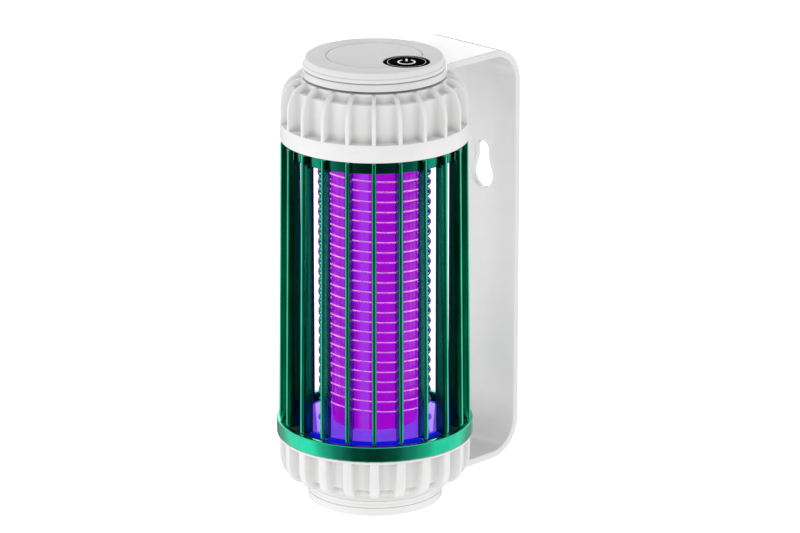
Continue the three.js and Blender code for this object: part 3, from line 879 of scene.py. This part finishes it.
def fine(rows):
    """Rows as (height, wall radius, rib radius), with extra rows across each long step."""
    result = []
    count = len(rows)
    for i, row in enumerate(rows):
        after = rows[(i + 1) % count]
        result.append(row)
        length = max(abs(row[0] - after[0]), abs(row[1] - after[1]), abs(row[2] - after[2]))
        parts = max(1, int(length / ROW_STEP))
        for k in range(1, parts):
            t = k / parts
            result.append(tuple(a + (b - a) * t for a, b in zip(row, after)))
    return result


def blended_wall(z, knots):
    """Wall radius at a height, from (height, radius) knots."""
    for (z0, r0), (z1, r1) in zip(knots, knots[1:]):
        if z0 <= z <= z1:
            return r0 + (r1 - r0) * (z - z0) / max(TINY, z1 - z0)
    return knots[-1][1]


def upper_housing():
    """The plain band and, above it, ribs that curve in to the collar under the bracket."""
    bottom, top = span("upper_housing")
    band_top, wall_top = 184.8, 202.6
    band, wall, collar, bore = 44.0, 38.5, 34.2, 36.1
    shoulder = 13
    shoulder_low, crest = top - shoulder, collar - 0.4
    knots = [
        (band_top, band), (band_top + 0.02, wall + 0.9), (band_top + 0.12, wall + 0.45),
        (band_top + 0.4, wall + 0.12), (band_top + 0.9, wall), (wall_top - 1.2, wall),
        (wall_top - 0.5, wall - 0.12), (wall_top - 0.15, wall - 0.5), (wall_top, wall - 1.1),
        (wall_top + 0.02, collar + 0.7), (wall_top + 0.15, collar + 0.35), (wall_top + 0.5, collar + 0.08),
        (wall_top + 0.9, collar), (top - 0.4, collar), (top - 0.12, collar - 0.12), (top, crest),
    ]
    ribs = [band_top + 0.02] + [shoulder_low + shoulder * math.sin(math.pi / 2 * k / 14) for k in range(15)]

    def rib_at(z):
        if z <= shoulder_low:
            return band
        t = min(1.0, (z - shoulder_low) / shoulder)
        return crest + (band - crest) * math.sqrt(max(0.0, 1 - t * t))

    heights = sorted({round(z, 4) for z, _ in knots} | {round(z, 4) for z in ribs})
    heights = [z for z in heights if z > band_top + 0.01]
    outside = [(z, blended_wall(z, knots), rib_at(z)) for z in heights]
    under = [(bore, bottom, 0.3), (band, bottom, 0.5), (band, band_top, 0.0)]
    skirt = rounded([(bore, bottom + 3, 0), *under, (band - 2, band_top, 0)], 0.3, 4)[1:-2]
    skirt += [(band, band_top - 0.5), (band - 0.04, band_top - 0.22), (band - 0.14, band_top - 0.05)]
    rows = [(z, r, r) for r, z in skirt] + [(band_top, band - 0.3, band - 0.06)]
    rows += outside
    neck_bore, ceiling = 24.0, wall_top - 2.4
    inside = [(neck_bore + 0.5, top), (neck_bore, top - 0.4), (neck_bore, ceiling), (bore, ceiling)]
    rows += [(z, r, r) for r, z in inside]
    pocket_low, pocket_high, pocket_width = 177.0, 183.4, 11.0
    pocket = [(35.5, pocket_low), (47, pocket_low), (47, pocket_high), (35.5, pocket_high)]
    pocket = upright(plate(rounded(pocket, 0.01, 1), pocket_width, 0.01), INLET_ANGLE)
    make("upper_shell", ribbed(fine(rows), rib_columns(UPPER_RIB_HALF)), WHITE, "lamp",
         ["upper_housing"], 34, [pocket])


def lower_housing():
    """The neck, ribs that curve out from the lower collar, and the flange under the cage."""
    bottom, top = span("lower_housing")
    rib_bottom, wall_bottom = 11.5, 15.6
    rib, rib_foot, wall, collar, bore = 45.5, 37.0, 40.0, 36.5, 37.6
    flange, under = 46.0, top - 1.2
    curve = 12
    curve_top = rib_bottom + curve
    knots = [
        (rib_bottom, collar - 0.4), (rib_bottom + 0.15, collar - 0.1), (rib_bottom + 0.5, collar),
        (wall_bottom - 0.6, collar), (wall_bottom - 0.2, collar + 0.2), (wall_bottom - 0.02, collar + 0.7),
        (wall_bottom, wall - 1.0), (wall_bottom + 0.15, wall - 0.45), (wall_bottom + 0.5, wall - 0.1),
        (wall_bottom + 1.0, wall), (under - 0.9, wall), (under - 0.4, wall + 0.1),
        (under - 0.12, wall + 0.4), (under - 0.02, wall + 0.9), (under, rib),
    ]

    def rib_at(z):
        if z >= curve_top:
            return rib
        t = (curve_top - z) / curve
        return rib_foot + (rib - rib_foot) * max(0.0, 1 - t ** LOWER_RIB_POWER) ** (1 / LOWER_RIB_POWER)

    ribs = [curve_top - curve * math.sin(math.pi / 2 * k / 14) for k in range(15)]
    heights = sorted({round(z, 4) for z, _ in knots} | {round(z, 4) for z in ribs})
    heights = [z for z in heights if z < under - 0.01]
    neck, neck_bore, ledge = 29.2, 27.5, 34.1
    below = [
        (neck_bore, bottom), (neck - 0.2, bottom), (neck, bottom + 0.2), (neck, rib_bottom - 0.3),
        (neck + 0.3, rib_bottom),
    ]
    above = [
        (rib, under), (flange - 0.2, under + 0.02), (flange, under + 0.2), (flange, top - 0.25),
        (flange - 0.08, top - 0.06), (flange - 0.3, top), (bore, top), (bore, wall_bottom + 2.4),
        (ledge, wall_bottom), (ledge, rib_bottom + 2.4), (neck_bore, rib_bottom + 2.4),
    ]
    rows = [(z, r, r) for r, z in below]
    rows += [(z, blended_wall(z, knots), rib_at(z)) for z in heights]
    rows += [(z, r, r) for r, z in above]
    make("lower_shell", ribbed(fine(rows), rib_columns(LOWER_RIB_HALF)), WHITE, "lamp",
         ["lower_housing"], 34)


# --- Cage ---


UPPER_RING_INNER, UPPER_RING_OUTER = 38.0, 41.1
LOWER_RING_INNER, LOWER_RING_OUTER = 43.3, 46.48
SLAT_INNER, SLAT_FOOT, SLAT_HEAD = 38.6, 45.7, 44.1
SLAT_THICK, SLAT_ROUNDING = 2.2, 1.0


def cage_rings():
    inner, outer = UPPER_RING_INNER, UPPER_RING_OUTER
    low, high = span("cage_ring_upper")
    outline = rounded([(inner, low), (outer, low), (outer, high), (inner, high)], 0.5, 4)
    make("ring_upper", lathe(outline, 220), GREEN, "lamp", ["cage_ring_upper"])
    inner, outer = LOWER_RING_INNER, LOWER_RING_OUTER
    low, high = span("cage_ring_lower")
    outline = [(inner, low, 0.3), (outer, low, 0.45), (outer, high, 0.55), (inner, high, 0.8)]
    outline = rounded(outline, 0.4, 5)
    make("ring_lower", lathe(outline, 220), GREEN, "lamp", ["cage_ring_lower"])


def slats():
    """One slat, notched for the upper ring, stood up once for each rib."""
    low, high = span("cage_slat_01")
    ring_low = span("cage_ring_upper")[0]
    notch, notch_low = reach("cage_ring_upper") + 0.3, ring_low - 0.3
    outline = rounded([
        (SLAT_INNER, low, 1.6), (SLAT_FOOT, low, 2.0), (SLAT_HEAD, high, 0.2), (notch, high, 0.2),
        (notch, notch_low, 0.2), (SLAT_INNER, notch_low, 1.0),
    ], 0.3, 5)
    shape = plate(outline, SLAT_THICK, SLAT_ROUNDING, (), 5)
    for i, angle in enumerate(spaced(RIB_COUNT, RIB_PHASE)):
        number = f"{i + 1:02d}"
        make(f"slat_{number}", upright(shape, angle), GREEN, "lamp",
             [f"cage_slat_{number}"], 40)


# --- Tube, grid and floor ---

WIRE_LOW, WIRE_PITCH, WIRE_RADIUS, WIRE_TURNS = 46.14, 9.76, 26.2, 12
WIRE_HALF, WIRE_STEPS = 0.45, 56
TUBE_INNER, TUBE_OUTER = 18.8, 20.3
DISC_RADIUS, RIM_INNER, RIM_OUTER = 34.6, 34.75, 36.0
POST_INNER, POST_OUTER, TOOTH_TIP = 20.7, 24.5, 26.5
WIRE_START = math.radians(LAMP_TURN + 97.3)


def lamp_tube():
    low, high = span("lamp_tube")
    outline = [(TUBE_INNER, low), (TUBE_OUTER, low), (TUBE_OUTER, high), (TUBE_INNER, high)]
    outline = rounded(outline, 0.4, 4)
    make("tube_glass", lathe(outline, 120), TUBE, "lamp", ["lamp_tube"])


def grid_floor():
    """The lit disc, the six bosses on it and the deep blue rim round it."""
    low, high = span("grid_floor")
    outline = rounded([
        (0, low, 0), (DISC_RADIUS, low, 0.3), (DISC_RADIUS, high - 0.3, 0.3),
        (DISC_RADIUS - 0.4, high, 0.2), (0, high, 0),
    ], 0.2, 4)
    boss = [(24.8, high - 0.2), (27.4, high - 0.2), (26.2, high + 1.3), (24.8, high + 1.6)]
    boss = plate(rounded(boss, 0.4, 3), 2.6, 0.4)
    bosses = [upright(boss, angle) for angle in spaced(POST_COUNT, POST_PHASE)]
    make("floor_disc", joined(lathe(outline, 180), *bosses), FLOOR, "lamp", ["grid_floor"])
    top = high - 0.12
    edge = [(RIM_INNER, low, 0.2), (RIM_OUTER, low, 0.3), (RIM_OUTER, top, 0.35), (RIM_INNER, top, 0.25)]
    make("floor_rim", lathe(rounded(edge, 0.2, 4), 180), RIM, "lamp")


def wire(name, node, start):
    """A left-handed helix that starts at that height."""
    count = WIRE_TURNS * WIRE_STEPS
    path = []
    for k in range(count + 1):
        turns = WIRE_TURNS * k / count
        a = WIRE_START - TAU * turns
        path.append((WIRE_RADIUS * math.cos(a), WIRE_RADIUS * math.sin(a), start + WIRE_PITCH * turns))
    make(name, sweep(path, WIRE_HALF), WIRE, "lamp", [node], 60)


def posts():
    """Each post is a comb: a pointed tooth carries each turn of the wires."""
    low, high = span("grid_post_01")
    wire_high = span("grid_wire_a")[1]
    step = WIRE_PITCH / 2
    for i, angle in enumerate(spaced(POST_COUNT, POST_PHASE)):
        z = WIRE_LOW + step * (((WIRE_START - angle) / math.pi) % 1.0)
        outer = [(POST_OUTER, low)]
        while z < wire_high:
            outer += [(POST_OUTER, z - 1.0), (TOOTH_TIP, z - 0.25)]
            outer += [(TOOTH_TIP, z + 0.25), (POST_OUTER, z + 1.0)]
            z += step
        outline = [(POST_INNER, low), *outer, (POST_OUTER, high), (POST_INNER, high)]
        shape = upright(plate(rounded(outline, 0.25, 2), 2.0, 0.35), angle)
        number = f"{i + 1:02d}"
        make(f"post_{number}", shape, POST, "lamp", [f"grid_post_{number}"], 40)


# --- Base and tray ---


def funnel():
    """The dark ledge inside the cage and the cone that leads down from it to the tray."""
    low, high = span("collector_funnel")
    mouth, shoulder, edge, ledge = 25.6, 36.8, 42.9, high - 2.3
    outline = rounded([
        (mouth, low, 0.3), (shoulder, low + 10, 1.0), (shoulder, ledge, 0.3), (edge, ledge, 0.3),
        (edge, high, 0.4), (shoulder, high - 0.8, 1.5), (mouth, low + 1.8, 0.3),
    ], 0.3, 4)
    make("funnel_cone", lathe(outline, 144), SHADE, "lamp", ["collector_funnel"])


BASE_RADIUS = 31.98


def lock_ring():
    """The upper tier of the base, with a fine groove round it."""
    low, high = span("lock_ring")
    bore, groove, top = 29.5, 5.76, high + 0.2
    outline = rounded([
        (bore, low, 0.2), (BASE_RADIUS - 0.08, low, 0.2), (BASE_RADIUS, low + 0.3, 0.1),
        (BASE_RADIUS, groove - 0.16, 0.08), (BASE_RADIUS - 0.18, groove, 0.05),
        (BASE_RADIUS, groove + 0.16, 0.08), (BASE_RADIUS, top, 0.25), (bore, top, 0.2),
    ], 0.2, 3)
    make("base_collar", lathe(outline, 192), WHITE, "lock_ring", ["lock_ring"])


def tray():
    """A plain cup."""
    low, high = span("insect_tray")
    outer, wall = 27.0, 1.6
    outline = rounded([
        (0, low, 0), (outer, low, 0.5), (outer, high, 0.4), (outer - wall, high, 0.4),
        (outer - wall, low + wall, 1.2), (0, low + wall, 0),
    ], 0.3, 4)
    make("tray_cup", lathe(outline, 144), WHITE, "tray", ["insect_tray"])


def foot():
    """The lower tier of the base, hollowed underneath for the pad."""
    top = span("tray_foot")[1] + 0.18
    rim_low, hollow, hollow_radius = 0.1, 1.5, 27.3
    outline = rounded([
        (0, hollow, 0), (hollow_radius, hollow, 0.2), (hollow_radius, rim_low, 0.2),
        (BASE_RADIUS - 0.28, rim_low, 0.2), (BASE_RADIUS, rim_low + 0.35, 0.2),
        (BASE_RADIUS, top, 0.15), (0, top, 0),
    ], 0.3, 4)
    make("foot_disc", lathe(outline, 192), WHITE, "tray", ["tray_foot"])


def pad():
    """A rubber disc with three ring grooves underneath."""
    low, high = span("base_pad")
    outer, side = 27.0, 0.6
    profile = [(0, low, 0)]
    for radius in (8.0, 14.0, 20.0):
        profile += [(radius - side, low, 0.1), (radius, low + 0.4, 0.1), (radius + side, low, 0.1)]
    profile += [(outer, low, 0.3), (outer, high, 0.2), (0, high, 0)]
    make("foot_pad", lathe(rounded(profile, 0.2, 3), 144), PAD, "tray", ["base_pad"])


# --- Charging inlet and the parts inside ---


def inlet():
    """A rounded metal shell with a tongue in it, facing out of the band."""
    low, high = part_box("charging_socket")
    middle = (low.z + high.z) / 2 / MM
    shell_depth, back_depth, tongue_depth = 7.3, 0.6, 5.4
    outer = rounded(box_outline(4.5, 1.65), 1.6, 8)
    inner = rounded(box_outline(4.1, 1.25), 1.2, 8)
    blade = rounded(box_outline(3.0, 0.35), 0.2, 3)
    shell = facing_out(plate(outer, shell_depth, 0.12, [inner[::-1]], 3), 37.6, middle)
    back = facing_out(plate(inner, back_depth, 0.1), 34.4, middle)
    tongue = facing_out(plate(blade, tongue_depth, 0.1), 37.3, middle)
    make("inlet_shell", joined(shell, back), STEEL, "lamp", ["charging_socket"])
    make("inlet_tongue", tongue, DARK, "lamp")


def facing_out(shape, radius, height):
    """A plate drawn across the band, moved to that radius on the inlet's side."""
    verts, faces = shape
    c, s = math.cos(INLET_ANGLE), math.sin(INLET_ANGLE)
    return [((radius + w) * c - u * s, (radius + w) * s + u * c, height + v) for u, v, w in verts], faces


def carried_over():
    """CAD pieces kept as they are, with a finish of their own."""
    finishes = {
        "upper_deck": WHITE, "battery_cell": WRAP, "control_board": BOARD, "hv_converter": DARK,
        "switch_block": DARK, "led_column": LIGHT_STRIP,
        "deck_screw_01": STEEL, "deck_screw_02": STEEL, "deck_screw_03": STEEL,
    }
    for node, finish in finishes.items():
        mesh = frame["nodes"][node].data
        mesh.materials.clear()
        mesh.materials.append(finish.material)


# --- Studio ---


# Metres: the flat floor, its curve, the top of the backdrop, and room for the tray to slide out
FLAT_RADIUS, COVE_RADIUS, BACKDROP_TOP, FLOOR_DROP = 3.6, 1.2, 5.0, 0.05
STUDIO_SEGMENTS = 96


def studio_floor():
    """A pale floor under the lamp that curves up into a pale backdrop; only the camera sees it."""
    outline = [(0, 0), (FLAT_RADIUS, 0)]
    outline += arc(FLAT_RADIUS, COVE_RADIUS, COVE_RADIUS, -82, 6, 11)
    outline += [(FLAT_RADIUS + COVE_RADIUS, BACKDROP_TOP)]
    verts = []
    rings = [turned_ring(radius, z, STUDIO_SEGMENTS, verts) for radius, z in outline]
    mesh = bpy.data.meshes.new("studio_floor")
    mesh.from_pydata(verts, [], skin(rings, closed_rows=False))
    mesh.polygons.foreach_set("use_smooth", [True] * len(mesh.polygons))
    mesh.materials.append(floor_paint().material)
    floor = bpy.data.objects.new("studio_floor", mesh)
    floor.location.z = -FLOOR_DROP
    bpy.context.scene.collection.objects.link(floor)
    floor.visible_glossy = False
    floor.visible_diffuse = False
    floor.visible_shadow = False


def reflector():
    """A drum that only shiny surfaces see: soft boxes at both sides, pale above, paler behind."""
    name = "studio_reflector"
    radius, low, high = 1.6, -3.2, 2.6
    verts = []
    rings = [turned_ring(radius, z, STUDIO_SEGMENTS, verts) for z in (low, high)]
    mesh = bpy.data.meshes.new(name)
    mesh.from_pydata(verts, [], skin(rings, closed_rows=False))
    f = Finish(name)
    turn = around(f, CAMERA_AZIMUTH - 90)
    stops = [
        (0, 0.03), (22, 0.05), (42, 0.22), (62, 0.5), (80, 1.0), (112, 1.0),
        (140, 0.4), (165, 0.12), (180, 0.1),
    ]
    both = stops + [(360 - a, v) for a, v in reversed(stops[:-1])]
    around_grey = f.grey_ramp(turn, [(a / 360, v) for a, v in both], ease=True)
    above = f.remap(f.along(0.0, 0.0, 1.0), 0.15, 0.5, 0.0, 1.0)
    glow = f.add("ShaderNodeEmission")
    glow.inputs["Strength"].default_value = 1.4
    a = math.radians(CAMERA_AZIMUTH)
    back = f.along(-math.sin(a), math.cos(a), 0.0)
    behind = f.remap(back, 0.6 * radius, 0.92 * radius, 0.0, 1.0)
    card = f.mix(behind, (0.8, 0.8, 0.8), (1.75, 1.75, 1.75))
    f.link(f.mix(above, around_grey, card), glow.inputs["Color"])
    out = f.tree.nodes["Material Output"]
    f.link(glow.outputs[0], out.inputs["Surface"])
    f.tree.nodes.remove(f.shader)
    mesh.materials.append(f.material)
    drum = bpy.data.objects.new(name, mesh)
    bpy.context.scene.collection.objects.link(drum)
    drum.visible_camera = False
    drum.visible_diffuse = False
    drum.visible_shadow = False
    drum.visible_transmission = False


def world():
    """Soft light: brightest near the horizon, weak from above, a little stronger from the left."""
    sky = bpy.data.worlds.new("studio")
    sky.use_nodes = True
    nodes = Nodes(sky.node_tree, "Generated")
    background = nodes.tree.nodes["Background"]
    height = nodes.remap(nodes.along(0.0, 0.0, 1.0), -1.0, 1.0, 0.0, 1.0)
    stops = [(0.0, 0.55), (0.3, 0.9), (0.5, 1.12), (0.72, 0.66), (1.0, 0.25)]
    nodes.link(nodes.grey_ramp(height, stops), background.inputs["Color"])
    a = math.radians(CAMERA_AZIMUTH)
    left = nodes.along(-math.cos(a), -math.sin(a), 0.0)
    nodes.link(nodes.remap(left, -1.0, 1.0, 1.2, 1.42), background.inputs["Strength"])
    bpy.context.scene.world = sky


def no_colour_cast():
    """Keeps the coloured light of the cage, the tube and the floor disc off the white plastic."""
    for obj in bpy.data.objects:
        if obj.name.split("_")[0] in {"slat", "ring", "wire", "post", "tube", "floor"}:
            obj.visible_diffuse = False


def camera():
    """Looks at the middle of the lamp from a little above."""
    a, p = math.radians(CAMERA_AZIMUTH), math.radians(CAMERA_PITCH)
    back = Vector((math.sin(a) * math.cos(p), -math.cos(a) * math.cos(p), math.sin(p)))
    side = Vector((math.cos(a), math.sin(a), 0)) * CAMERA_SIDE
    height = (CAD_HIGH.z - CAD_LOW.z) / 2 + CAMERA_RISE
    target = Vector((0, 0, height)) + side
    data = bpy.data.cameras.new("camera")
    data.lens = CAMERA_LENS
    data.sensor_width = CAMERA_SENSOR
    data.clip_end = CAMERA_FAR
    obj = bpy.data.objects.new("camera", data)
    obj.location = target + back * CAMERA_DISTANCE
    obj.rotation_euler = (math.pi / 2 - p, 0, a)
    bpy.context.scene.collection.objects.link(obj)
    bpy.context.scene.camera = obj


camera()
world()
studio_floor()
reflector()
bracket()
cap()
button()
upper_housing()
lower_housing()
cage_rings()
slats()
lamp_tube()
grid_floor()
wire("wire_a", "grid_wire_a", WIRE_LOW + WIRE_PITCH / 2)
wire("wire_b", "grid_wire_b", WIRE_LOW)
posts()
funnel()
lock_ring()
tray()
foot()
pad()
inlet()
carried_over()
no_colour_cast()

bpy.context.scene.view_settings.view_transform = "Standard"
